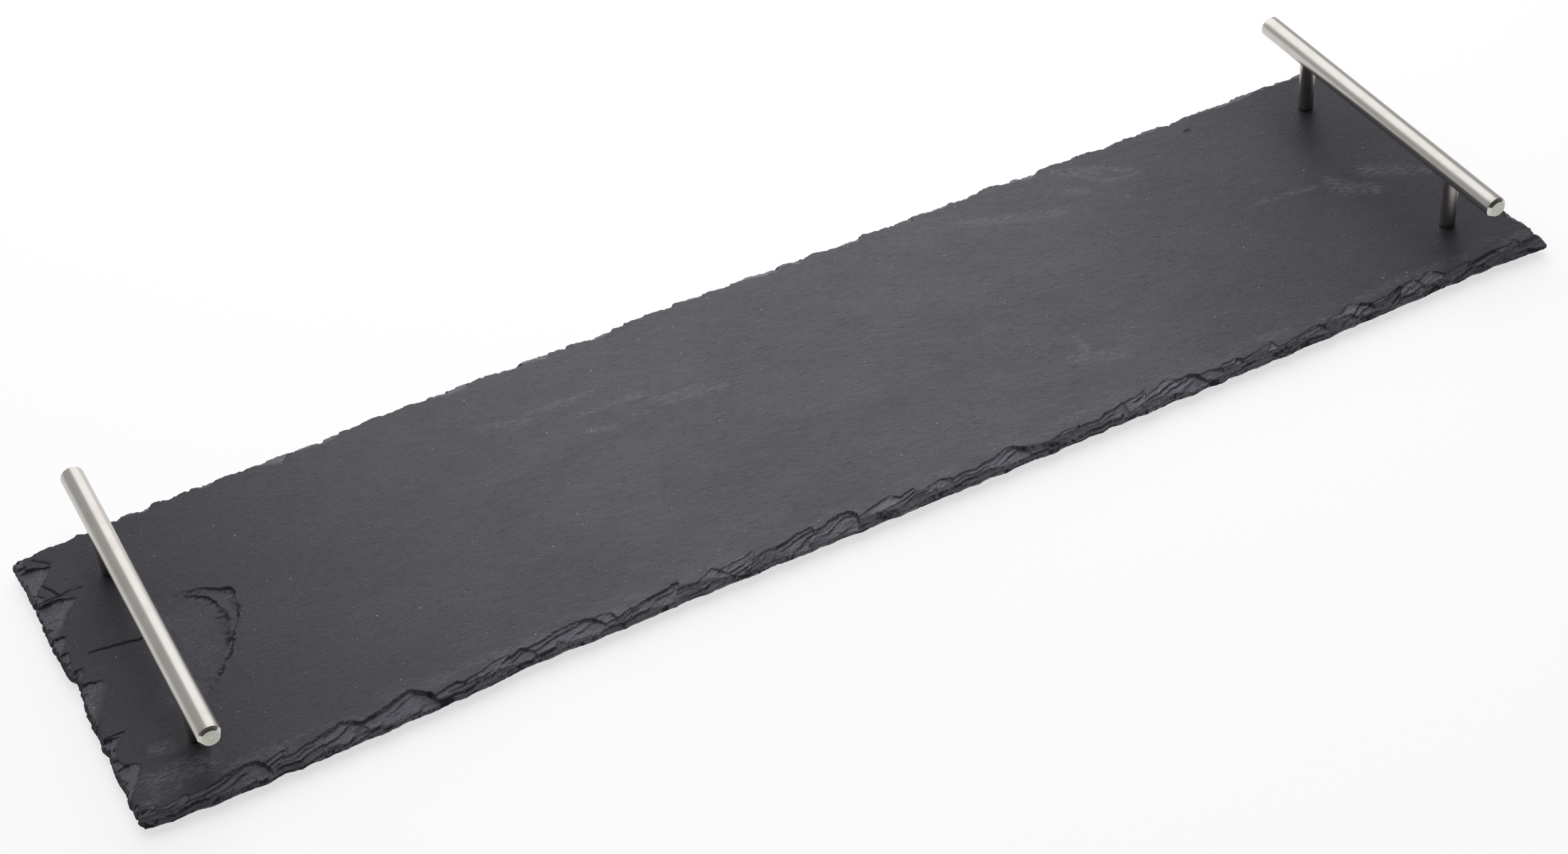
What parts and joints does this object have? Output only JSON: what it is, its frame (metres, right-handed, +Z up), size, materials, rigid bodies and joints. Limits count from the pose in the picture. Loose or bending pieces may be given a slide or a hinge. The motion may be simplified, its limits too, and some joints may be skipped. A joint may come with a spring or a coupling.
{
  "type": "slate serving board",
  "caption": "Long slate board with hand-chipped edges, a round steel bar handle on two posts at each end, and rubber feet underneath.",
  "frame": {"origin": "middle of the board's footprint on the surface that its feet stand on", "axes": "+X along the board towards the right handle as the picture shows it, +Y away from the picture's viewer across the board, +Z up out of the serving face"},
  "size_m": [0.6, 0.158, 0.0395],
  "materials": {
    "slate": "natural cleft, chipped edges",
    "brushed_steel": "brushed along the bar",
    "post_steel": "turned satin",
    "fastener_steel": "plain",
    "vulcanised_fibre": "matt",
    "foot_rubber": "matt"
  },
  "bodies": {
    "root": {"slate_board": "slate", "left_handle_bar": "brushed_steel", "right_handle_bar": "brushed_steel", "left_front_post": "post_steel", "left_rear_post": "post_steel", "right_front_post": "post_steel", "right_rear_post": "post_steel", "left_front_stud": "fastener_steel", "left_rear_stud": "fastener_steel", "right_front_stud": "fastener_steel", "right_rear_stud": "fastener_steel", "left_front_screw": "fastener_steel", "left_rear_screw": "fastener_steel", "right_front_screw": "fastener_steel", "right_rear_screw": "fastener_steel", "left_front_washer": "fastener_steel", "left_rear_washer": "fastener_steel", "right_front_washer": "fastener_steel", "right_rear_washer": "fastener_steel", "left_front_fibre_washer": "vulcanised_fibre", "left_rear_fibre_washer": "vulcanised_fibre", "right_front_fibre_washer": "vulcanised_fibre", "right_rear_fibre_washer": "vulcanised_fibre", "left_front_foot": "foot_rubber", "left_rear_foot": "foot_rubber", "right_front_foot": "foot_rubber", "right_rear_foot": "foot_rubber"}
  },
  "joints": []
}
